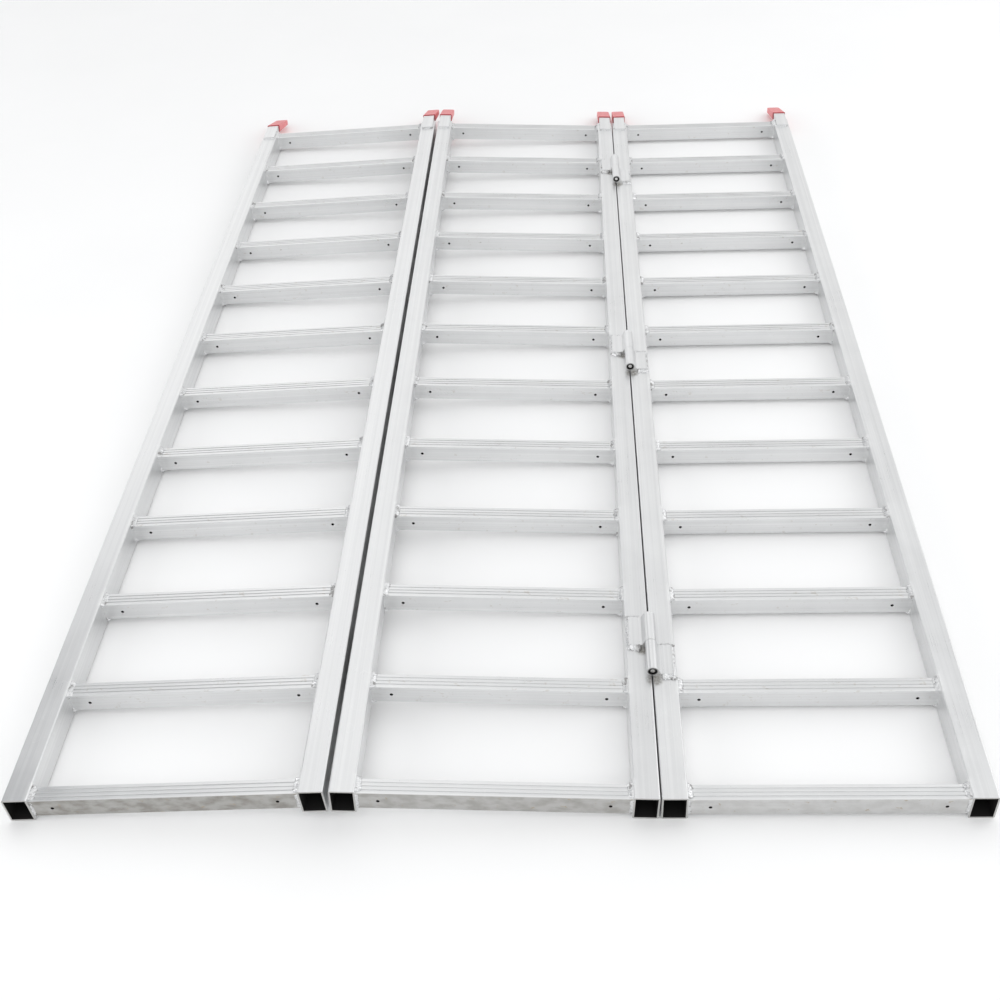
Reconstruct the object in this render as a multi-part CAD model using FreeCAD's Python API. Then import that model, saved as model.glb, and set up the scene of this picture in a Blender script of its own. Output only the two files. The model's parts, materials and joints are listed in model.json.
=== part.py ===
import FreeCAD, Part
import math
import os

# Tri-fold loading ramp: three welded ladder panels side by side, hinged so that the ramp folds
# into a Z. Millimetres. +X runs across the ramp, +Y from its near end to its fingers and +Z up.
# The origin is on the floor, in the middle of the ramp as it lies open.

# Driving dimensions
rung_pitch = 165.0
rung_count = 12
panel_width = 400.0

rail_width = 32.0
rail_height = 40.0
rail_wall = 2.2
rail_corner = 2.0
rail_inner_corner = 0.8

rung_depth = 22.5
rung_height = 28.5
rung_wall = 2.0
rung_top_wall = 3.0
rung_drop = 5.0
rung_end_margin = 1.5
rung_corner = 0.8
tread_grooves = 3
groove_width = 1.8
groove_depth = 1.1
rung_hole_diameter = 4.0
rung_hole_inset = 27.0

finger_width = 24.0
finger_depth = 12.0
finger_tip_depth = 7.5
finger_proud = 4.0
finger_overlap = 37.0
finger_reach = 21.0
finger_bent_length = 95.0
finger_bend = 18.0
finger_bend_radius = 12.0
finger_corner = 4.0
finger_fit = 0.1

cover_wall = 1.8
cover_clearance = 0.1
cover_start = 2.0
cover_round = 1.5

hinge_spacing = 680.0
hinge_length = 100.0
knuckle_gap = 0.5
barrel_diameter = 16.0
barrel_lift = 9.5
leaf_reach = 28.0
leaf_thickness = 5.0
leaf_chamfer = 1.0
leaf_neck = 11.0
leaf_blend = 25.0
leaf_heel = 3.0
pin_diameter = 8.0
pin_running_clearance = 0.05
pin_setback = 1.0
pin_chamfer = 0.6
mouth_diameter = 11.5
mouth_depth = 4.0
top_joint_gap = 1.0
under_joint_gap = 2.0

# Values that follow from them
rail_length = (rung_count - 1) * rung_pitch + rung_depth + 2 * rung_end_margin
rung_length = panel_width - 2 * rail_width
barrel_radius = barrel_diameter / 2
knuckle_length = (hinge_length - knuckle_gap) / 2
finger_near_end = rail_length - finger_overlap
bend_y = rail_length + finger_reach
bend_z = rail_height + finger_proud
hinge_stations = [rail_length / 2 + k * hinge_spacing for k in (-1, 0, 1)]

X = FreeCAD.Vector(1, 0, 0)
Y = FreeCAD.Vector(0, 1, 0)
Z = FreeCAD.Vector(0, 0, 1)
OVERCUT = 5.0


def vector(x, y, z):
    return FreeCAD.Vector(x, y, z)


def box(x0, y0, z0, x1, y1, z1):
    return Part.makeBox(x1 - x0, y1 - y0, z1 - z0, vector(x0, y0, z0))


def prism_along_x(points, x0, x1):
    """Extrudes a closed outline of (y, z) points from x0 to x1."""
    wire = Part.makePolygon([vector(x0, y, z) for y, z in points + points[:1]])
    return Part.Face(wire).extrude(X * (x1 - x0))


def prism_along_y(points, y0, y1):
    """Extrudes a closed outline of (x, z) points from y0 to y1."""
    wire = Part.makePolygon([vector(x, y0, z) for x, z in points + points[:1]])
    return Part.Face(wire).extrude(Y * (y1 - y0))


def edges_along(shape, direction, keep):
    """The straight edges parallel to a direction whose middle point passes the test keep."""
    found = []
    for edge in shape.Edges:
        ends = [vertex.Point for vertex in edge.Vertexes]
        if len(ends) != 2 or edge.Curve.TypeId != "Part::GeomLine":
            continue
        run = ends[1] - ends[0]
        if abs(abs(run.normalize().dot(direction)) - 1) > 1e-6:
            continue
        if keep((ends[0] + ends[1]) * 0.5):
            found.append(edge)
    return found


def every(point):
    return True


# One panel, in its own frame: x from its left side, y from the near end, z from its underside


def rounded_bar(width, height, corner, length):
    bar = Part.makeBox(width, length, height)
    return bar.makeFillet(corner, edges_along(bar, Y, every))


def rail(left_side):
    """A rectangular tube, open at both ends, with a slot in its top wall for the finger."""
    outside = rounded_bar(rail_width, rail_height, rail_corner, rail_length)
    inner_width = rail_width - 2 * rail_wall
    inner_height = rail_height - 2 * rail_wall
    inside = rounded_bar(inner_width, inner_height, rail_inner_corner, rail_length + 2 * OVERCUT)
    inside.translate(vector(rail_wall, -OVERCUT, rail_wall))
    margin = (rail_width - finger_width) / 2 - finger_fit
    slot = box(
        margin,
        finger_near_end - finger_fit,
        rail_height - rail_wall - OVERCUT,
        rail_width - margin,
        rail_length + OVERCUT,
        rail_height + OVERCUT,
    )
    tube = outside.cut(inside).cut(slot)
    tube.translate(vector(left_side, 0, 0))
    return tube


def rung(index):
    """A hollow tread with lengthwise ribs on top and two drilled holes in its front wall."""
    top = rail_height - rung_drop
    bottom = top - rung_height
    front = rung_end_margin + index * rung_pitch
    back = front + rung_depth
    x0 = rail_width
    x1 = rail_width + rung_length
    body = box(x0, front, bottom, x1, back, top)
    body = body.makeFillet(rung_corner, edges_along(body, X, every))
    hollow = box(
        x0 - OVERCUT,
        front + rung_wall,
        bottom + rung_wall,
        x1 + OVERCUT,
        back - rung_wall,
        top - rung_top_wall,
    )
    body = body.cut(hollow)
    groove_pitch = rung_depth / (tread_grooves + 1)
    for k in range(tread_grooves):
        middle = front + (k + 1) * groove_pitch
        near = middle - groove_width / 2
        far = middle + groove_width / 2
        body = body.cut(box(x0 - OVERCUT, near, top - groove_depth, x1 + OVERCUT, far, top + OVERCUT))
    for x in (x0 + rung_hole_inset, x1 - rung_hole_inset):
        start = vector(x, front - OVERCUT, (top + bottom) / 2)
        drill = Part.makeCylinder(rung_hole_diameter / 2, OVERCUT + rung_wall + 1, start, Y)
        body = body.cut(drill)
    return body


def bent(shape):
    """Takes a shape drawn straight on from the bend line, at its top, down along the bend."""
    shape.rotate(vector(0, 0, 0), X, -finger_bend)
    shape.translate(vector(0, bend_y, bend_z))
    return shape


def tongue(x0, x1, start, end, skin, corner):
    """A tapering block along +y with its top at z = skin and its free corners rounded."""
    depth_lost_per_mm = (finger_depth - finger_tip_depth) / finger_bent_length
    outline = [
        (start, skin),
        (end, skin),
        (end, -skin - finger_depth + depth_lost_per_mm * end),
        (start, -skin - finger_depth + depth_lost_per_mm * start),
    ]
    block = prism_along_x(outline, x0, x1)
    return block.makeFillet(corner, edges_along(block, Z, lambda p: p.y > end - 1))


def finger(rail_side):
    """A solid bar let into the rail's top, bent down beyond its end and thinner at the tip."""
    x0 = rail_side + (rail_width - finger_width) / 2
    x1 = x0 + finger_width
    straight = box(x0, finger_near_end, bend_z - finger_depth, x1, bend_y, bend_z)
    bar = straight.fuse(bent(tongue(x0, x1, 0, finger_bent_length, 0, finger_corner))).removeSplitter()
    crease = edges_along(bar, X, lambda p: abs(p.y - bend_y) < 0.01 and abs(p.z - bend_z) < 0.01)
    return bar.makeFillet(finger_bend_radius, crease)


def tip_cover(rail_side):
    """A soft cap pulled over the bent part of a finger, closed at the tip."""
    x0 = rail_side + (rail_width - finger_width) / 2
    x1 = x0 + finger_width
    end = finger_bent_length
    outside = tongue(
        x0 - cover_wall,
        x1 + cover_wall,
        cover_start,
        end + cover_wall,
        cover_wall,
        finger_corner + cover_wall,
    )
    rims = edges_along(outside, X, lambda p: p.y > end)
    outside = outside.makeFillet(cover_round, rims)
    pocket = tongue(
        x0 - cover_clearance,
        x1 + cover_clearance,
        cover_start - OVERCUT,
        end + cover_clearance,
        cover_clearance,
        finger_corner + cover_clearance,
    )
    return bent(outside.cut(pocket))


# Hinges, drawn about their axis: x across the joint, y along it, z up from the rail's surface


def leaf(y0, y1, mouth_at):
    """A plate to the left of the axis and the knuckle that it carries, bored for the pin."""
    blend = math.radians(leaf_blend)
    outline = [
        (-leaf_reach, 0),
        (-leaf_reach, leaf_thickness - leaf_chamfer),
        (-leaf_reach + leaf_chamfer, leaf_thickness),
        (-leaf_neck, leaf_thickness),
        (-barrel_radius * math.cos(blend), barrel_lift + barrel_radius * math.sin(blend)),
        (0, barrel_lift),
        (0, barrel_lift - barrel_radius),
        (-leaf_heel, 0),
    ]
    plate = prism_along_y(outline, y0, y1)
    axis_start = vector(0, y0, barrel_lift)
    barrel = Part.makeCylinder(barrel_radius, y1 - y0, axis_start, Y)
    bore_radius = pin_diameter / 2 + pin_running_clearance
    bore = Part.makeCylinder(bore_radius, y1 - y0 + 2 * OVERCUT, axis_start - Y * OVERCUT, Y)
    inward = Y if mouth_at == y0 else -Y
    mouth_start = vector(0, mouth_at, barrel_lift) - inward * OVERCUT
    mouth = Part.makeCylinder(mouth_diameter / 2, mouth_depth + OVERCUT, mouth_start, inward)
    return plate.fuse(barrel).removeSplitter().cut(bore).cut(mouth)


def near_leaf(station):
    start = station - hinge_length / 2
    return leaf(start, start + knuckle_length, start)


def far_leaf(station):
    end = station + hinge_length / 2
    return leaf(end - knuckle_length, end, end)


def pin(station):
    length = hinge_length - 2 * pin_setback
    start = vector(0, station - length / 2, barrel_lift)
    rod = Part.makeCylinder(pin_diameter / 2, length, start, Y)
    rims = [edge for edge in rod.Edges if edge.Curve.TypeId == "Part::GeomCircle"]
    return rod.makeChamfer(pin_chamfer, rims)


def to_right(shape):
    """The same piece for the panel on the right of the axis."""
    return shape.mirror(vector(0, 0, 0), X)


def to_underside(shape):
    """The same piece hanging below the surface instead of standing on it."""
    return shape.mirror(vector(0, 0, 0), Z)


# How the open ramp lies on a floor: the right panel is flat, the knuckles under the left joint
# rest on the floor and hold that joint up, and the left panel's outer side reaches the floor.


def angle_for(reach, rise, height):
    """The angle, in degrees, at which reach * sin(angle) - rise * cos(angle) equals height."""
    slant = math.hypot(reach, rise)
    return math.degrees(math.asin(height / slant) + math.atan2(rise, reach))


axis_to_axis = panel_width + (top_joint_gap + under_joint_gap) / 2
top_axis_height = rail_height + barrel_lift
centre_tilt = angle_for(axis_to_axis, rail_height + 2 * barrel_lift, barrel_radius - top_axis_height)
left_tilt = angle_for(
    panel_width + under_joint_gap / 2 - rail_corner,
    barrel_lift + rail_corner,
    barrel_radius - rail_corner,
)


def placement(pivot_in_panel, pivot_on_floor, tilt):
    """Puts a panel's pivot at a place above the floor and tips the panel about it."""
    turn = FreeCAD.Placement(pivot_on_floor, FreeCAD.Rotation(Y, tilt))
    return turn.multiply(FreeCAD.Placement(-pivot_in_panel, FreeCAD.Rotation()))


top_axis = vector(-top_joint_gap / 2, 0, top_axis_height)
top_axis_in_centre = vector(panel_width + top_joint_gap / 2, 0, top_axis_height)
under_axis_in_centre = vector(-under_joint_gap / 2, 0, -barrel_lift)
under_axis_in_left = vector(panel_width + under_joint_gap / 2, 0, -barrel_lift)

right_place = FreeCAD.Placement()
centre_place = placement(top_axis_in_centre, top_axis, centre_tilt)
under_axis = centre_place.multVec(under_axis_in_centre)
left_place = placement(under_axis_in_left, under_axis, -left_tilt)

nodes = {}


def add(name, shape, place):
    nodes[name] = shape.transformed(place.toMatrix(), copy=True)


def add_panel(panel, sides, place):
    """One ladder: two rails with their fingers and covers, and the rungs between them."""
    for side, x in zip(sides, (0, panel_width - rail_width)):
        add(f"{panel}_panel_{side}_rail", rail(x), place)
        add(f"{panel}_panel_{side}_finger", finger(x), place)
        add(f"{panel}_panel_{side}_tip_cover", tip_cover(x), place)
    for k in range(rung_count):
        add(f"{panel}_panel_rung_{k + 1:02d}", rung(k), place)


def add_hinge_row(name, make_piece, surface, place):
    """Three like pieces, one per hinge, on the surface point that their axis stands over."""
    pieces = [make_piece(station) for station in hinge_stations]
    row = Part.makeCompound(pieces)
    row.translate(surface)
    add(name, row, place)


add_panel("left", ("outer", "inner"), left_place)
add_panel("centre", ("left", "right"), centre_place)
add_panel("right", ("inner", "outer"), right_place)

over_centre = top_axis_in_centre - Z * barrel_lift
over_right = top_axis - Z * barrel_lift
under_centre = under_axis_in_centre + Z * barrel_lift
under_left = under_axis_in_left + Z * barrel_lift

add_hinge_row("top_hinge_centre_leaves", far_leaf, over_centre, centre_place)
add_hinge_row("top_hinge_right_leaves", lambda y: to_right(near_leaf(y)), over_right, right_place)
add_hinge_row("top_hinge_pins", pin, over_centre, centre_place)
add_hinge_row("under_hinge_left_leaves", lambda y: to_underside(near_leaf(y)), under_left, left_place)
add_hinge_row(
    "under_hinge_centre_leaves",
    lambda y: to_right(to_underside(far_leaf(y))),
    under_centre,
    centre_place,
)
add_hinge_row("under_hinge_pins", lambda y: to_underside(pin(y)), under_centre, centre_place)

# The origin goes to the middle of the ramp, on the floor
extent = Part.makeCompound(list(nodes.values())).optimalBoundingBox(False, False)
to_origin = vector(-extent.Center.x, -extent.Center.y, -extent.ZMin)

os.makedirs("parts", exist_ok=True)
for name, shape in nodes.items():
    shape.translate(to_origin)
    shape.exportStep(f"parts/{name}.step")

print("nodes", len(nodes), "size", [round(v, 3) for v in (extent.XLength, extent.YLength, extent.ZLength)])
print("tilts: centre", round(centre_tilt, 4), "left", round(left_tilt, 4))
for label, point in (("top axis", top_axis), ("under axis", under_axis), ("near end", vector(0, 0, 0))):
    print(label, [round(v, 4) for v in point + to_origin])
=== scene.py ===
import json
import math
import random

import bmesh
import bpy
from mathutils import Matrix, Vector, noise


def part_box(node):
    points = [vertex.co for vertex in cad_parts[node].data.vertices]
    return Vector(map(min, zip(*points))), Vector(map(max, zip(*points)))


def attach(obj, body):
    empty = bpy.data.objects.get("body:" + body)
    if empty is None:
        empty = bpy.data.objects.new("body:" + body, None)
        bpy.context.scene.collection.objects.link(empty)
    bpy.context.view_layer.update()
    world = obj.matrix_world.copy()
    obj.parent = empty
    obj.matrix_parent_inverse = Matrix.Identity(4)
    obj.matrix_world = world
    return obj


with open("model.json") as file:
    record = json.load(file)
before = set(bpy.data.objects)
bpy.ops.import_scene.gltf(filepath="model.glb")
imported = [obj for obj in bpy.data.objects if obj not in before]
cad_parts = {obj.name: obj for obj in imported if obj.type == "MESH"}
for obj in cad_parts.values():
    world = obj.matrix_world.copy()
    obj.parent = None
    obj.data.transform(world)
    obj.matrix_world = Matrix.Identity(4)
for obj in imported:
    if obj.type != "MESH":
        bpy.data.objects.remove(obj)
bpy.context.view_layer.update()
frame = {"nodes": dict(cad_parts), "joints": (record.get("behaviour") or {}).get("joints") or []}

# The looks of a tri-fold aluminium loading ramp: brushed extrusions, weld beads, dipped red tips
# and the studio around them. Metres. +X runs across the ramp, +Y from its near end to its tips.

MM = 0.001

# Sizes of the ramp
rung_pitch = 165 * MM
rung_count = 12
panel_width = 400 * MM
rail_width = 32 * MM
rail_height = 40 * MM
rail_wall = 2.2 * MM
rung_depth = 22.5 * MM
rung_height = 28.5 * MM
rung_wall = 2 * MM
rung_top_wall = 3 * MM
rung_drop = 5 * MM
rung_corner = 0.8 * MM
rung_end_margin = 1.5 * MM
rung_hole_radius = 2 * MM
rung_hole_inset = 27 * MM
finger_width = 24 * MM
finger_overlap = 37 * MM
finger_bend = math.radians(18)
hinge_spacing = 680 * MM
hinge_length = 100 * MM
knuckle_gap = 0.5 * MM
barrel_lift = 9.5 * MM
leaf_reach = 28 * MM
mouth_radius = 5.75 * MM
barrel_radius = 8 * MM
pin_radius = 4 * MM
top_joint_gap = 1 * MM
under_joint_gap = 2 * MM

# Sizes of the weld beads
rung_bead = 3.5 * MM
rung_bead_reach = 6.5 * MM
rung_bead_wrap = 6 * MM
end_bead = 1.0 * MM
end_bead_reach = 3.6 * MM
leaf_bead = 6.5 * MM
leaf_bead_height = 4.4 * MM
leaf_bead_inward = 16 * MM
finger_bead = 1.5 * MM
finger_stitch = 12 * MM
bead_ripple = 3.1 * MM
bead_step = 0.8 * MM
bead_embed = 0.7 * MM
bead_taper = 2.5 * MM
bead_turn = 0.3 * MM
bead_end_gap = 1 * MM
rung_bead_inset = 2 * MM

# Sizes of the marks on the metal and the vinyl, with the painted shade among them
wall_slack = 0.05 * MM
drill_slack = 0.25 * MM
saw_cut = 0.1 * MM
top_skin = 0.5 * MM
rung_front_skin = 0.3 * MM
rung_front_fade = 0.9 * MM
rail_heat_along = 9 * MM
rail_heat_across = 7 * MM
rung_heat_reach = 13 * MM
rung_heat_core = 3 * MM
barrel_edge = 0.3 * MM
soot_and_shade_radius = 14 * MM
turning_pitch = 0.5 * MM
lip_shade_band = 1.8 * MM
lip_shade_fade = 3.2 * MM

# Values that follow from them
rail_length = (rung_count - 1) * rung_pitch + rung_depth + 2 * rung_end_margin
rung_top = rail_height - rung_drop
rung_bottom = rung_top - rung_height
rung_middle = (rung_top + rung_bottom) / 2
rung_hole = Vector((panel_width / 2 - rail_width - rung_hole_inset, 0, rung_middle))
rail_centre_offset = panel_width / 2 - rail_width / 2
hinge_stations = [rail_length / 2 + k * hinge_spacing for k in (-1, 0, 1)]
knuckle_length = (hinge_length - knuckle_gap) / 2


# Each panel's own frame: x from its left side, y from the near end, z from its underside

joints = {joint["name"]: joint for joint in frame["joints"]}
top_axis = Vector(joints["right_fold"]["pos_m"])
under_axis = Vector(joints["left_fold"]["pos_m"])
near_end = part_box("right_panel_inner_rail")[0].y

top_axis_in_right = Vector((-top_joint_gap / 2, 0, rail_height + barrel_lift))
top_axis_in_centre = Vector((panel_width + top_joint_gap / 2, 0, rail_height + barrel_lift))
under_axis_in_centre = Vector((-under_joint_gap / 2, 0, -barrel_lift))
under_axis_in_left = Vector((panel_width + under_joint_gap / 2, 0, -barrel_lift))


def slope(run):
    return math.atan2(run.z, -run.x)


centre_tilt = slope(under_axis - top_axis) - slope(under_axis_in_centre - top_axis_in_centre)
left_tilt = math.radians(joints["left_fold"]["range_deg"][0]) + centre_tilt


def panel_place(pivot, axis, tilt):
    """The place of a panel that is tipped about its pivot, which lies on a joint's axis."""
    there = Matrix.Translation((axis.x, near_end, axis.z))
    return there @ Matrix.Rotation(tilt, 4, "Y") @ Matrix.Translation(-pivot)


places = {
    "left": panel_place(under_axis_in_left, under_axis, left_tilt),
    "centre": panel_place(top_axis_in_centre, top_axis, centre_tilt),
    "right": panel_place(top_axis_in_right, top_axis, 0.0),
}


def down_finger(point):
    return point.y * math.cos(finger_bend) - point.z * math.sin(finger_bend)


cover = frame["nodes"]["right_panel_inner_tip_cover"].data
cover_lip = min(down_finger(places["right"].inverted() @ vertex.co) for vertex in cover.vertices)


# Node materials


class Finish:
    """A node material in the making: every method adds a node and gives back its output."""

    def __init__(self, owner):
        self.material = bpy.data.materials.new(owner) if isinstance(owner, str) else owner
        self.material.use_nodes = True
        self.tree = self.material.node_tree
        self.tree.nodes.clear()

    def add(self, kind, inputs, output=0, **settings):
        node = self.tree.nodes.new("ShaderNode" + kind)
        for key, value in settings.items():
            setattr(node, key, value)
        for key, value in inputs.items():
            if isinstance(value, bpy.types.NodeSocket):
                self.tree.links.new(value, node.inputs[key])
            else:
                node.inputs[key].default_value = value
        return None if output is None else node.outputs[output]

    def spot(self):
        """The point on the piece, in metres, in the frame of the open ramp."""
        return self.add("TexCoord", {}, output="Object")

    def spot_in(self, place):
        """The same point in a panel's own frame."""
        inverse = place.inverted()
        moved = {
            "Vector": self.spot(),
            "Location": inverse.to_translation(),
            "Rotation": inverse.to_euler(),
        }
        return self.add("Mapping", moved, vector_type="POINT")

    def parts(self, spot):
        split = self.tree.nodes.new("ShaderNodeSeparateXYZ")
        self.tree.links.new(spot, split.inputs[0])
        return split.outputs

    def math(self, operation, a, b=0.0):
        return self.add("Math", {0: a, 1: b}, operation=operation)

    def stretch(self, spot, scale):
        return self.add("VectorMath", {0: spot, 1: scale}, operation="MULTIPLY")

    def cloud(self, spot, scale, detail=3.0, roughness=0.55):
        return self.add(
            "TexNoise",
            {"Vector": spot, "Scale": scale, "Detail": detail, "Roughness": roughness},
        )

    def ease(self, value, low, high, start=0.0, end=1.0):
        """Goes smoothly from start to end while value goes from low to high."""
        ends = {"Value": value, "From Min": low, "From Max": high, "To Min": start, "To Max": end}
        return self.add("MapRange", ends, interpolation_type="SMOOTHSTEP")

    def spread(self, value, start, end):
        """A noise value, which keeps near its middle, spread evenly between start and end."""
        ends = {"Value": value, "From Min": 0.3, "From Max": 0.7, "To Min": start, "To Max": end}
        return self.add("MapRange", ends)

    def mix(self, share, a, b):
        """Two colours mixed. A Mix node's colours are its inputs 6 and 7 and its output 2."""
        node = self.tree.nodes.new("ShaderNodeMix")
        node.data_type = "RGBA"
        for key, value in ((0, share), (6, a), (7, b)):
            if isinstance(value, bpy.types.NodeSocket):
                self.tree.links.new(value, node.inputs[key])
            elif key:
                node.inputs[key].default_value = (*value, 1.0)
            else:
                node.inputs[key].default_value = value
        return node.outputs[2]

    def specks(self, spot, scale, size, share):
        """Small round marks: size is their radius in cells, share how many cells have one."""
        cells = self.tree.nodes.new("ShaderNodeTexVoronoi")
        cells.inputs["Scale"].default_value = scale
        self.tree.links.new(spot, cells.inputs["Vector"])
        near = self.ease(cells.outputs["Distance"], size, 0.4 * size)
        chance = self.parts(cells.outputs["Color"])[0]
        return self.math("MULTIPLY", near, self.math("LESS_THAN", chance, share))

    def hairlines(self, spot, scale, width, share):
        """Thin wandering scratches, where a cloud passes through its middle value."""
        level = self.cloud(spot, scale, detail=1.0)
        off = self.math("ABSOLUTE", self.math("SUBTRACT", level, 0.5))
        line = self.ease(off, width, 0.3 * width)
        patch = self.ease(self.cloud(spot, 0.37 * scale, detail=0.0), 0.62 - share, 0.68 - share)
        return self.math("MULTIPLY", line, patch)

    def length(self, a, b):
        """The length of the vector whose two parts are a and b."""
        squares = [self.math("MULTIPLY", part, part) for part in (a, b)]
        return self.math("SQRT", self.math("ADD", *squares))

    def radius(self, x, z, middle):
        """The distance from a line along y."""
        return self.length(self.math("SUBTRACT", x, middle.x), self.math("SUBTRACT", z, middle.z))

    def bump(self, height, distance, normal=None):
        inputs = {"Height": height, "Distance": distance}
        if normal is not None:
            inputs["Normal"] = normal
        return self.add("Bump", inputs)

    def done(self, **inputs):
        """Ends in one Principled shader; names use an underscore for a space."""
        shader = self.tree.nodes.new("ShaderNodeBsdfPrincipled")
        for key, value in inputs.items():
            socket = shader.inputs[key.replace("_", " ")]
            if isinstance(value, bpy.types.NodeSocket):
                self.tree.links.new(value, socket)
            else:
                socket.default_value = value
        output = self.tree.nodes.new("ShaderNodeOutputMaterial")
        self.tree.links.new(shader.outputs[0], output.inputs[0])
        return self.material


ALUMINIUM_DARK = (0.66, 0.665, 0.67)
ALUMINIUM_LIGHT = (0.84, 0.845, 0.845)
# Grime and soot, also used as painted shade by the hinge barrels and on the near rungs' fronts.
DIRT_AND_SHADE = (0.27, 0.258, 0.235)
STAIN = (0.36, 0.29, 0.20)
# Painted shade: near black for the walls inside the tubes, drilled holes and hinge barrels.
BORE_SHADE = (0.012, 0.011, 0.011)


def inside_rails(f, x, z):
    """1 on the walls inside the rail tubes, which get painted shade, 0 elsewhere."""
    across = f.math("ABSOLUTE", f.math("SUBTRACT", x, panel_width / 2))
    across = f.math("ABSOLUTE", f.math("SUBTRACT", across, rail_centre_offset))
    up = f.math("ABSOLUTE", f.math("SUBTRACT", z, rail_height / 2))
    in_width = f.math("LESS_THAN", across, rail_width / 2 - rail_wall + wall_slack)
    in_height = f.math("LESS_THAN", up, rail_height / 2 - rail_wall + wall_slack)
    return f.math("MULTIPLY", in_width, in_height)


def inside_rungs(f, y, z):
    """1 on the walls inside the rung tubes, which get painted shade, 0 elsewhere."""
    along = f.math("MODULO", f.math("SUBTRACT", y, rung_end_margin), rung_pitch)
    middle = (rung_bottom + rung_wall + rung_top - rung_top_wall) / 2
    half_height = (rung_top - rung_top_wall - rung_bottom - rung_wall) / 2
    depth = f.math("ABSOLUTE", f.math("SUBTRACT", along, rung_depth / 2))
    up = f.math("ABSOLUTE", f.math("SUBTRACT", z, middle))
    in_depth = f.math("LESS_THAN", depth, rung_depth / 2 - rung_wall + wall_slack)
    in_height = f.math("LESS_THAN", up, half_height + wall_slack)
    return f.math("MULTIPLY", in_depth, in_height)


def extrusion(f, spot, along, halo=0.0, bore_shade=0.0, wear_and_shade=0.0, stain=0.0):
    """Mill-finish aluminium with die lines along one axis (0 for x, 1 for y).

    halo is 1 where a weld's heat has left the metal pale and dull, the bore mask 1 inside a tube or
    hole, where near-black shade is painted, the wear mask 1 where the metal is grimy, sooty or
    roughly sawn and where shade is painted by the top hinges' barrels and on the near rungs'
    fronts, and stain 1 where it is brown.
    """

    def lines(across, lengthwise):
        return f.stretch(spot, [lengthwise if k == along else across for k in range(3)])

    bands = f.cloud(lines(170, 0.9), 1.0, detail=2.0)
    die_lines = f.cloud(lines(900, 2.5), 1.0, detail=3.0, roughness=0.7)
    haze = f.cloud(spot, 11.0, detail=5.0, roughness=0.6)
    grain = f.cloud(spot, 650.0, detail=2.0)
    pits = f.specks(spot, 95.0, 0.055, 0.16)
    scratches = f.hairlines(f.stretch(spot, (26, 19, 31)), 1.0, 0.0035, 0.12)

    tone = f.math("ADD", f.spread(bands, 0.22, 0.62), f.spread(die_lines, -0.16, 0.16))
    tone = f.math("ADD", tone, f.spread(haze, -0.12, 0.16))
    tone = f.math("ADD", tone, f.math("MULTIPLY", halo, 0.5))
    colour = f.mix(tone, ALUMINIUM_DARK, ALUMINIUM_LIGHT)
    colour = f.mix(f.math("MULTIPLY", scratches, 0.18), colour, (0.90, 0.90, 0.90))
    colour = f.mix(f.math("MULTIPLY", pits, 0.6), colour, (0.20, 0.195, 0.19))
    # Grime, soot and sawn faces, and also painted shade: by the top hinges' barrels and on the near
    # rungs' fronts.
    colour = f.mix(wear_and_shade, colour, DIRT_AND_SHADE)
    colour = f.mix(stain, colour, STAIN)
    # Painted shade: the walls inside the bores near black, as if no light reached them.
    colour = f.mix(bore_shade, colour, BORE_SHADE)

    rough = f.math("ADD", f.spread(haze, 0.28, 0.38), f.spread(die_lines, -0.04, 0.07))
    rough = f.math("ADD", rough, f.math("MULTIPLY", halo, 0.14))
    rough = f.math("ADD", rough, f.math("MULTIPLY", wear_and_shade, 0.2))
    rough = f.math("ADD", rough, f.math("MULTIPLY", bore_shade, 0.35))

    normal = f.bump(bands, 0.10 * MM)
    normal = f.bump(die_lines, 0.05 * MM, normal)
    normal = f.bump(grain, 0.012 * MM, normal)
    normal = f.bump(f.math("ADD", pits, f.math("MULTIPLY", scratches, 0.3)), -0.08 * MM, normal)
    covered = f.math("ADD", f.math("ADD", wear_and_shade, bore_shade), stain)
    metallic = f.math("SUBTRACT", 0.82, f.math("MULTIPLY", covered, 0.5))
    return f.done(Base_Color=colour, Metallic=metallic, Roughness=rough, Normal=normal)


# Where welding the near ends of the top hinges' leaves left soot, and where the shadow under the
# barrels' mouths is painted as shade, on the first hinge: how far across from the hinges' axis and
# along from the near end
soot_and_shade_spots = [
    (3 * MM, hinge_stations[0] - hinge_length / 2 - 5 * MM),
    (-10 * MM, hinge_stations[0] + knuckle_gap / 2 - 3 * MM),
]


def hinge_soot_and_shade(f, spot, across, along):
    """1 where the metal is sooty or in painted shadow by the barrels. across is from the top
    hinges' axis, along from the near end.
    """
    soot_and_shade = 0.0
    for spot_across, spot_along in soot_and_shade_spots:
        ahead = f.math("ADD", along, hinge_spacing / 2 - spot_along)
        ahead = f.math("MODULO", ahead, hinge_spacing)
        ahead = f.math("SUBTRACT", ahead, hinge_spacing / 2)
        distance = f.length(ahead, f.math("SUBTRACT", across, spot_across))
        soot_and_shade = f.math("MAXIMUM", soot_and_shade, f.ease(distance, soot_and_shade_radius, 0.35 * soot_and_shade_radius))
    return f.math("MULTIPLY", soot_and_shade, f.spread(f.cloud(spot, 330.0, detail=4.0), 0.35, 1.3))


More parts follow.
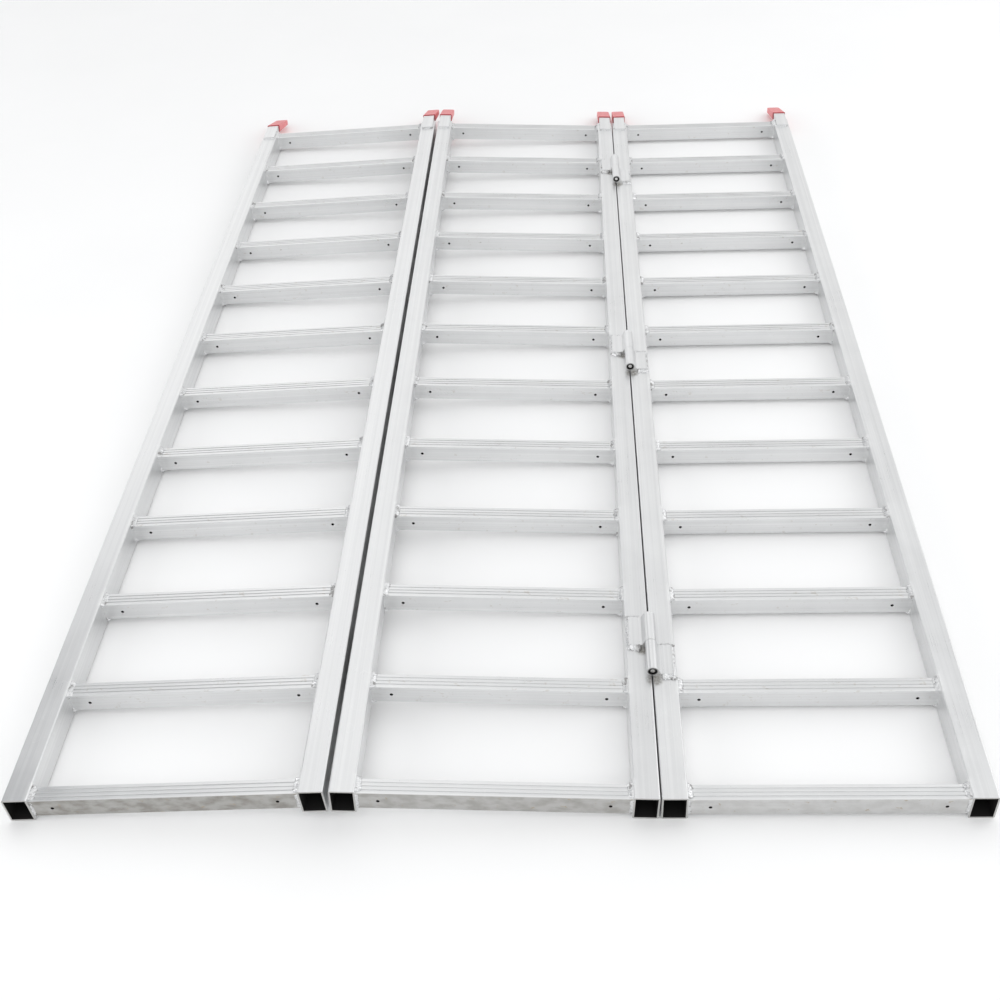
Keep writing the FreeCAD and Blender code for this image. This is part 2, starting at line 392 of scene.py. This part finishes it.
def rail_aluminium(panel):
    f = Finish(f"{panel}_rail_aluminium")
    spot = f.spot_in(places[panel])
    x, y, z = f.parts(spot)
    along = f.math("MODULO", f.math("ADD", y, rung_pitch / 2 - rung_end_margin), rung_pitch)
    from_rung = f.math("ABSOLUTE", f.math("SUBTRACT", along, rung_pitch / 2 + rung_depth / 2))
    beside_rung = f.ease(from_rung, rung_depth / 2 + rail_heat_along, rung_depth / 2)
    from_middle = f.math("ABSOLUTE", f.math("SUBTRACT", x, panel_width / 2))
    inner_wall = panel_width / 2 - rail_width
    inner_side = f.ease(from_middle, inner_wall + rail_heat_across, inner_wall)
    patchy = f.spread(f.cloud(spot, 160.0), 0.2, 1.0)
    halo = f.math("MULTIPLY", f.math("MULTIPLY", beside_rung, inner_side), patchy)
    from_end = f.math("MINIMUM", y, f.math("SUBTRACT", rail_length, y))
    sawn = f.math("LESS_THAN", from_end, saw_cut)
    wear_and_shade = f.math("MULTIPLY", sawn, 0.55)
    # Soot, and painted shadow under the barrels' mouths, on the tops of the hinged rails.
    axes = {"centre": top_axis_in_centre, "right": top_axis_in_right}
    if panel in axes:
        soot_and_shade = hinge_soot_and_shade(f, spot, f.math("SUBTRACT", x, axes[panel].x), y)
        on_top = f.math("GREATER_THAN", z, rail_height - top_skin)
        wear_and_shade = f.math("MAXIMUM", wear_and_shade, f.math("MULTIPLY", soot_and_shade, on_top))
    return extrusion(f, spot, 1, halo=halo, bore_shade=inside_rails(f, x, z), wear_and_shade=wear_and_shade)


def rung_aluminium(panel, dirt=None):
    """The rungs' metal. The second argument is how scuffed the near rung's front is and how much
    shade is painted on it, None on the others.
    """
    f = Finish(f"{panel}_{'rung' if dirt is None else 'near_rung'}_aluminium")
    spot = f.spot_in(places[panel])
    x, y, z = f.parts(spot)
    from_middle = f.math("ABSOLUTE", f.math("SUBTRACT", x, panel_width / 2))
    end = panel_width / 2 - rail_width
    patchy = f.spread(f.cloud(spot, 160.0), 0.1, 1.0)
    near_weld = f.ease(from_middle, end - rung_heat_reach, end - rung_heat_core)
    halo = f.math("MULTIPLY", near_weld, patchy)
    # The drilled holes' walls get the same painted shade as the insides of the tubes.
    from_hole = f.radius(from_middle, z, rung_hole)
    drilled = f.math("LESS_THAN", from_hole, rung_hole_radius + drill_slack)
    below_top = f.math("LESS_THAN", z, rung_top - rung_top_wall)
    bore_shade = f.math("MAXIMUM", inside_rungs(f, y, z), f.math("MULTIPLY", drilled, below_top))
    marks = f.ease(f.cloud(f.stretch(spot, (95, 130, 130)), 1.0, detail=5.0), 0.63, 0.70)
    if dirt is None:
        stain = f.math("MULTIPLY", marks, 0.22)
        return extrusion(f, spot, 0, halo=halo, bore_shade=bore_shade, stain=stain)
    # The near rung's front is darkened: partly scuffs and grime, partly painted shade.
    front = f.ease(y, rung_end_margin + rung_front_fade, rung_end_margin + rung_front_skin)
    patches = f.ease(f.cloud(f.stretch(spot, (48, 80, 80)), 1.0, detail=6.0), 0.36, 0.70)
    smears_and_shade = f.math("MULTIPLY", f.math("ADD", f.math("MULTIPLY", patches, 0.35), 0.65), dirt)
    stain = f.math("MULTIPLY", f.math("MULTIPLY", marks, front), 0.8)
    wear_and_shade = f.math("MULTIPLY", front, smears_and_shade)
    return extrusion(f, spot, 0, halo=halo, bore_shade=bore_shade, wear_and_shade=wear_and_shade, stain=stain)


def finger_aluminium(panel):
    f = Finish(f"{panel}_finger_aluminium")
    return extrusion(f, f.spot_in(places[panel]), 1)


def hinge_aluminium(name, panel, axis_in_panel):
    """The leaves' metal, with painted shade: near black in the mouth and bore of the barrel round
    their axis, and darkening across the barrel's end faces towards the mouth.
    """
    f = Finish(name)
    spot = f.spot_in(places[panel])
    x, _, z = f.parts(spot)
    radius = f.radius(x, z, axis_in_panel)
    # Painted shade: the mouth and bore near black, and a dark ring round the mouth on the barrel's
    # end faces.
    bore = f.math("LESS_THAN", radius, mouth_radius + wall_slack)
    painted_mouth_shade = f.ease(radius, barrel_radius - barrel_edge, mouth_radius, 0.0, 0.85)
    return extrusion(f, spot, 1, bore_shade=f.math("MAXIMUM", bore, painted_mouth_shade))


def weld_aluminium():
    """Bright, rough bead metal with random patches of soot, and soot with painted shade by the top
    hinges' barrels.
    """
    f = Finish("weld_aluminium")
    spot = f.spot()
    mottle = f.cloud(spot, 420.0, detail=4.0, roughness=0.65)
    patches = f.cloud(spot, 90.0, detail=2.0)
    colour = f.mix(f.spread(mottle, 0.0, 1.0), (0.56, 0.565, 0.57), (0.90, 0.905, 0.91))
    soot_and_shade = f.ease(f.math("ADD", patches, f.math("MULTIPLY", mottle, 0.6)), 0.86, 0.96)
    x, y, _ = f.parts(spot)
    across = f.math("SUBTRACT", x, top_axis.x)
    # Soot and painted shadow by the top hinges' barrels.
    soot_and_shade = f.math("MAXIMUM", soot_and_shade, hinge_soot_and_shade(f, spot, across, f.math("SUBTRACT", y, near_end)))
    colour = f.mix(f.math("MULTIPLY", soot_and_shade, 0.7), colour, (0.24, 0.23, 0.22))
    rough = f.math("ADD", f.spread(mottle, 0.24, 0.42), f.math("MULTIPLY", soot_and_shade, 0.3))
    normal = f.bump(mottle, 0.4 * MM)
    return f.done(Base_Color=colour, Metallic=1.0, Roughness=rough, Normal=normal)


def pin_steel(name, axis):
    """Zinc-plated steel, bright on its turned ends, with painted shade round their rims."""
    f = Finish(name)
    spot = f.spot()
    x, _, z = f.parts(spot)
    radius = f.radius(x, z, axis)
    rings = f.math("SINE", f.math("MULTIPLY", radius, math.tau / turning_pitch))
    mottle = f.cloud(spot, 300.0, detail=3.0)
    colour = f.mix(f.spread(mottle, 0.0, 1.0), (0.80, 0.80, 0.81), (0.95, 0.945, 0.93))
    # Painted shade: the ends darken towards their rims, as shade in the barrels' mouths.
    rim = f.ease(radius, 0.55 * pin_radius, 0.85 * pin_radius)
    colour = f.mix(f.math("MULTIPLY", rim, 0.9), colour, (0.07, 0.068, 0.065))
    normal = f.bump(rings, 0.015 * MM)
    rough = f.spread(mottle, 0.2, 0.36)
    return f.done(Base_Color=colour, Metallic=1.0, Roughness=rough, Normal=normal)


def red_vinyl(panel):
    """Soft dipped vinyl: a slightly uneven skin, scuffed pale in places, with painted shade in deep
    red along its lip.
    """
    f = Finish(f"{panel}_red_vinyl")
    spot = f.spot_in(places[panel])
    skin = f.cloud(spot, 260.0, detail=2.0)
    shade = f.cloud(spot, 120.0, detail=4.0)
    scuffs = f.ease(f.cloud(f.stretch(spot, (160, 420, 160)), 1.0, detail=5.0), 0.50, 0.66)
    colour = f.mix(f.spread(shade, 0.0, 1.0), (0.66, 0.10, 0.11), (0.80, 0.22, 0.23))
    colour = f.mix(f.math("MULTIPLY", scuffs, 0.5), colour, (0.86, 0.52, 0.52))
    _, y, z = f.parts(spot)
    ahead = f.math("MULTIPLY", y, math.cos(finger_bend))
    along = f.math("SUBTRACT", ahead, f.math("MULTIPLY", z, math.sin(finger_bend)))
    # Painted shade: a deep red band along the lip's edge.
    lip_shade = f.ease(along, cover_lip + lip_shade_fade, cover_lip + lip_shade_band)
    colour = f.mix(lip_shade, colour, (0.42, 0.016, 0.026))
    rough = f.math("ADD", f.spread(shade, 0.36, 0.48), f.math("MULTIPLY", scuffs, 0.15))
    normal = f.bump(skin, 0.12 * MM)
    return f.done(Base_Color=colour, Metallic=0.0, Roughness=rough, Normal=normal)


def assign(node, material):
    for slot in frame["nodes"][node].material_slots:
        slot.material = material


panel_sides = {"left": ("outer", "inner"), "centre": ("left", "right"), "right": ("inner", "outer")}
# How dark the near rungs' fronts are: scuffs, and painted shade that is deepest on the left panel.
near_rung_dirt_and_shade = {"left": 1.0, "centre": 0.8, "right": 0.45}
for panel, sides in panel_sides.items():
    rail_finish = rail_aluminium(panel)
    finger_finish = finger_aluminium(panel)
    vinyl = red_vinyl(panel)
    for side in sides:
        assign(f"{panel}_panel_{side}_rail", rail_finish)
        assign(f"{panel}_panel_{side}_finger", finger_finish)
        assign(f"{panel}_panel_{side}_tip_cover", vinyl)
    assign(f"{panel}_panel_rung_01", rung_aluminium(panel, dirt=near_rung_dirt_and_shade[panel]))
    rung_finish = rung_aluminium(panel)
    for k in range(2, rung_count + 1):
        assign(f"{panel}_panel_rung_{k:02d}", rung_finish)

hinge_leaves = {
    "top_hinge_centre_leaves": ("centre", top_axis_in_centre),
    "top_hinge_right_leaves": ("right", top_axis_in_right),
    "under_hinge_centre_leaves": ("centre", under_axis_in_centre),
    "under_hinge_left_leaves": ("left", under_axis_in_left),
}
for node, (panel, axis_in_panel) in hinge_leaves.items():
    assign(node, hinge_aluminium(f"{node}_aluminium", panel, axis_in_panel))
assign("top_hinge_pins", pin_steel("top_pin_steel", top_axis))
assign("under_hinge_pins", pin_steel("under_pin_steel", under_axis))


# Weld beads. A bead lies in the corner between a plane and a square-sided piece that stands on
# it. It follows the piece's outline, given as corners in the plane, with the piece on its right.

X = Vector((1, 0, 0))
Y = Vector((0, 1, 0))
Z = Vector((0, 0, 1))


turn_steps = 6


def trace(corners, turn):
    """Points along an outline and the outward direction at each, with square corners rounded."""
    path = []
    ends = list(zip(corners, corners[1:]))
    for k, (start, end) in enumerate(ends):
        ahead = (end - start).normalized()
        outward = Vector((-ahead.y, ahead.x))
        first = start + ahead * (turn if k else 0)
        last = end - ahead * (turn if k < len(ends) - 1 else 0)
        steps = max(2, round((last - first).length / bead_step))
        path += [(first.lerp(last, i / steps), outward) for i in range(steps + 1)]
        if k < len(ends) - 1:
            centre = last - outward * turn
            for i in range(1, turn_steps):
                angle = math.radians(90) * i / turn_steps
                direction = outward * math.cos(angle) + ahead * math.sin(angle)
                path.append((centre + direction * turn, direction))
    return path


class Welds:
    """Weld beads gathered into one piece."""

    arc_steps = 7
    arc_power = 1.35
    end_size = 0.35
    drift_share = 0.25
    drift_length = 6 * MM
    ripple_share = 0.10
    ripple_lag = 0.9 * MM
    lump_length = 2.4 * MM
    lump_turn = 0.55
    most_swell = 1.2

    def __init__(self, seed):
        self.mesh = bmesh.new()
        self.random = random.Random(seed)

    def lay(
        self, place, origin, u, v, stand, corners, turn, out, height,
        side_share=1.0, main=None, lumps=0.20,
    ):
        """One bead. out and height are its legs on the plane and up the piece's side.

        Where main is given, the bead is full only where the outline faces that way or straight
        back, and its legs shrink to side_share round the corners. lumps is how uneven it is.
        """
        path = trace([Vector(c) for c in corners], turn)
        drift = self.random.uniform(0, 100)
        run = [0.0]
        for (a, facing_a), (b, facing_b) in zip(path, path[1:]):
            middle = out / 2
            run.append(run[-1] + ((b + facing_b * middle) - (a + facing_a * middle)).length)
        rings = []
        for (point, facing), along in zip(path, run):
            size = min(1.0, self.end_size + min(along, run[-1] - along) / bead_taper)
            if main is not None:
                size *= side_share + (1 - side_share) * abs(facing.dot(main))
            wander = noise.noise(Vector((along / self.drift_length, drift, 0.0)))
            size *= 1 + self.drift_share * wander
            ring = [self.corner(point, facing, size * out, -bead_embed)]
            for j in range(self.arc_steps + 1):
                angle = math.radians(90) * j / self.arc_steps
                lag = self.ripple_lag * math.sin(2 * angle)
                swell = 1 + self.ripple_share * math.cos(math.tau * (along - lag) / bead_ripple)
                lump_spot = Vector((along / self.lump_length, drift + 7, j * self.lump_turn))
                lump = noise.noise(lump_spot)
                swell = min(self.most_swell, swell * (1 + lumps * lump))
                reach = out * size * swell * math.cos(angle) ** self.arc_power
                rise = height * size * swell * math.sin(angle) ** self.arc_power
                ring.append(self.corner(point, facing, reach, rise))
            ring.append(self.corner(point, facing, -bead_embed, height * size))
            ring.append(self.corner(point, facing, -bead_embed, -bead_embed))
            vertices = []
            for spot, lift in ring:
                placed = origin + u * spot.x + v * spot.y + stand * lift
                vertices.append(self.mesh.verts.new(place @ placed))
            rings.append(vertices)
        for a, b in zip(rings, rings[1:]):
            for k in range(len(a)):
                self.mesh.faces.new((a[k - 1], a[k], b[k], b[k - 1]))
        self.mesh.faces.new(rings[0])
        self.mesh.faces.new(rings[-1])

    @staticmethod
    def corner(point, facing, outward, lift):
        return point + facing * outward, lift

    def finish(self, name, body, material):
        bmesh.ops.recalc_face_normals(self.mesh, faces=self.mesh.faces[:])
        data = bpy.data.meshes.new(name)
        self.mesh.to_mesh(data)
        self.mesh.free()
        data.polygons.foreach_set("use_smooth", [True] * len(data.polygons))
        data.materials.append(material)
        piece = bpy.data.objects.new(name, data)
        bpy.context.scene.collection.objects.link(piece)
        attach(piece, body)


def weld_rung_end(welds, place, k, side):
    """The beads over and under one end of a rung. side is -1 at the left rail, 1 at the right."""
    wall = Vector((panel_width / 2 + side * (panel_width / 2 - rail_width), 0, 0))
    front = rung_end_margin + k * rung_pitch
    back = front + rung_depth
    wrap = rung_bead_wrap * welds.random.uniform(0.7, 1.1)
    low_wrap = rung_bead_wrap * welds.random.uniform(0.5, 0.9)
    open_front = k > 0
    open_back = k < rung_count - 1
    front_start = front + (0 if open_front else rung_bead_inset)
    back_end = back - (0 if open_back else rung_bead_inset)
    over = [(front, rung_top - wrap)] if open_front else []
    over += [(front_start, rung_top), (back_end, rung_top)]
    over += [(back, rung_top - wrap)] if open_back else []
    under = [(back, rung_bottom + low_wrap)] if open_back else []
    under += [(back_end, rung_bottom), (front_start, rung_bottom)]
    under += [(front, rung_bottom + low_wrap)] if open_front else []
    for corners, main in ((over, Vector((0, 1))), (under, Vector((0, -1)))):
        welds.lay(
            place, wall, Y, Z, X * -side, corners, rung_corner,
            out=rung_bead, height=rung_bead_reach, side_share=0.42, main=main,
        )


def weld_flush_face(welds, place, side, far):
    """The upright bead where the first or last rung stands just inside the rails' ends."""
    wall = Vector((panel_width / 2 + side * (panel_width / 2 - rail_width), 0, 0))
    face = rail_length - rung_end_margin if far else rung_end_margin
    corners = [(face, rung_bottom + bead_end_gap), (face, rung_top - bead_end_gap)]
    if far:
        corners.reverse()
    size = {"out": end_bead, "height": end_bead_reach, "lumps": 0.6}
    welds.lay(place, wall, Y, Z, X * -side, corners, 0, **size)


def weld_leaf(welds, place, edge, outward, surface, up, start, end):
    """The bead round a hinge leaf: along its outer edge and part of the way in along both ends."""
    origin = Vector((edge, 0, surface))
    inner = -outward * leaf_bead_inward
    corners = [(inner, start), (0, start), (0, end), (inner, end)]
    if outward > 0:
        corners.reverse()
    welds.lay(
        place, origin, X, Y, Z * up, corners, bead_turn,
        out=leaf_bead, height=leaf_bead_height, side_share=0.45, main=Vector((0, 1)), lumps=0.45,
    )


def weld_finger(welds, place, rail_side):
    """The bead across a finger's near end, and a stitch on both sides by the rail's end."""
    x0 = rail_side + (rail_width - finger_width) / 2
    x1 = x0 + finger_width
    start = rail_length - finger_overlap
    top = Vector((0, 0, rail_height))
    size = {"out": finger_bead, "height": finger_bead}
    around = [(x1, start + finger_stitch), (x1, start), (x0, start), (x0, start + finger_stitch)]
    welds.lay(place, top, X, Y, Z, around, bead_turn, **size)
    stitch = (rail_length - finger_stitch, rail_length - bead_end_gap)
    welds.lay(place, top, X, Y, Z, [(x0, stitch[0]), (x0, stitch[1])], 0, **size)
    welds.lay(place, top, X, Y, Z, [(x1, stitch[1]), (x1, stitch[0])], 0, **size)


rung_weld_seed = 11
finger_weld_seed = 31

bead_finish = weld_aluminium()
for number, (panel, place) in enumerate(places.items()):
    rung_welds = Welds(rung_weld_seed + number)
    for k in range(rung_count):
        for side in (-1, 1):
            weld_rung_end(rung_welds, place, k, side)
    for side in (-1, 1):
        weld_flush_face(rung_welds, place, side, far=False)
        weld_flush_face(rung_welds, place, side, far=True)
    body = f"{panel}_panel"
    rung_welds.finish(f"{body}_rung_welds", body, bead_finish)
    finger_welds = Welds(finger_weld_seed + number)
    for rail_side in (0, panel_width - rail_width):
        weld_finger(finger_welds, place, rail_side)
    finger_welds.finish(f"{body}_finger_welds", body, bead_finish)


def weld_hinge_row(name, panel, axis_in_panel, outward, up, far_half, seed):
    """The beads of one row of leaves, which reach from their axis towards outward (-1 or 1).

    up is 1 on top of the rails and -1 under them. far_half is true for the hinge halves on the
    +Y side.
    """
    welds = Welds(seed)
    edge = axis_in_panel.x + outward * leaf_reach
    surface = rail_height if up > 0 else 0.0
    for station in hinge_stations:
        start = station + knuckle_gap / 2 if far_half else station - hinge_length / 2
        weld_leaf(welds, places[panel], edge, outward, surface, up, start, start + knuckle_length)
    welds.finish(name, f"{panel}_panel", bead_finish)


weld_hinge_row(
    "top_hinge_centre_welds", "centre", top_axis_in_centre,
    outward=-1, up=1, far_half=True, seed=51,
)
weld_hinge_row(
    "top_hinge_right_welds", "right", top_axis_in_right,
    outward=1, up=1, far_half=False, seed=52,
)
weld_hinge_row(
    "under_hinge_centre_welds", "centre", under_axis_in_centre,
    outward=1, up=-1, far_half=True, seed=53,
)
weld_hinge_row(
    "under_hinge_left_welds", "left", under_axis_in_left,
    outward=-1, up=-1, far_half=False, seed=54,
)


# The studio: a pale floor, a soft surround and three big soft lights

floor_half = 9.0
floor_sink = 0.3 * MM

ROOM = (0.87, 0.875, 0.88)
ROOM_BACK = (0.99, 0.99, 0.99)
WINDOW = (1.36, 1.36, 1.36)
DOORWAY = (0.02, 0.03, 0.05)


def pale_floor():
    f = Finish("pale_floor")
    mottle = f.cloud(f.spot(), 3.0)
    colour = f.mix(f.spread(mottle, 0.0, 1.0), (0.95, 0.95, 0.95), (0.97, 0.97, 0.97))
    return f.done(Base_Color=colour, Roughness=0.9)


def add_floor():
    data = bpy.data.meshes.new("floor")
    quarters = ((-1, -1), (1, -1), (1, 1), (-1, 1))
    rim = [(x * floor_half, y * floor_half, -floor_sink) for x, y in quarters]
    data.from_pydata(rim, [], [(0, 1, 2, 3)])
    data.materials.append(pale_floor())
    floor = bpy.data.objects.new("floor", data)
    bpy.context.scene.collection.objects.link(floor)


def add_surround():
    """A white room, brighter at the back and at a window on the left, with a dim doorway by it."""
    world = bpy.data.worlds.new("studio")
    bpy.context.scene.world = world
    f = Finish(world)
    direction = f.add("TexCoord", {}, output="Generated")
    x, y, _ = f.parts(direction)
    room = f.mix(f.ease(y, 0.5, 0.85), ROOM, ROOM_BACK)
    window = f.math("MULTIPLY", f.ease(x, 0.02, -0.16), f.ease(y, 0.93, 0.75))
    window = f.math("MULTIPLY", window, f.ease(y, 0.05, 0.30))
    room = f.mix(window, room, WINDOW)
    doorway = Vector((-0.66, 0.40, 0.64)).normalized()
    pair = {0: direction, 1: doorway}
    towards = f.add("VectorMath", pair, output="Value", operation="DOT_PRODUCT")
    room = f.mix(f.ease(towards, 0.92, 0.965), room, DOORWAY)
    background = f.add("Background", {"Color": room})
    f.add("OutputWorld", {"Surface": background}, output=None)


def add_softbox(name, spot, aim, size, power):
    data = bpy.data.lights.new(name, "AREA")
    data.shape = "RECTANGLE"
    data.size, data.size_y = size
    data.energy = power
    light = bpy.data.objects.new(name, data)
    light.location = spot
    light.rotation_euler = (Vector(aim) - Vector(spot)).to_track_quat("-Z", "Y").to_euler()
    bpy.context.scene.collection.objects.link(light)


add_floor()
add_surround()
add_softbox("front", spot=(0.4, -2.6, 2.6), aim=(0, 0, 0), size=(3.0, 2.0), power=14)
add_softbox("right", spot=(2.7, 0.5, 1.8), aim=(0.2, 0.5, 0), size=(1.8, 1.8), power=16)
add_softbox("left", spot=(-2.9, -1.1, 1.5), aim=(-0.2, 0.3, 0), size=(1.6, 1.6), power=14)


# The camera

camera_spot = Vector((0.1048, -1.8988, 1.3440))
camera_aim = Vector((0.0152, -0.2669, 0.0))
camera_roll = math.radians(-2.867)
camera_lens = 46.16
sensor_width = 36
camera_shift = (-0.0199, -0.05)

camera_data = bpy.data.cameras.new("camera")
camera_data.sensor_width = sensor_width
camera_data.lens = camera_lens
camera_data.shift_x, camera_data.shift_y = camera_shift
camera = bpy.data.objects.new("camera", camera_data)
bpy.context.scene.collection.objects.link(camera)
look = (camera_aim - camera_spot).to_track_quat("-Z", "Y").to_matrix().to_4x4()
camera.matrix_world = Matrix.Translation(camera_spot) @ look @ Matrix.Rotation(camera_roll, 4, "Z")
bpy.context.scene.camera = camera
bpy.context.scene.view_settings.view_transform = "Standard"
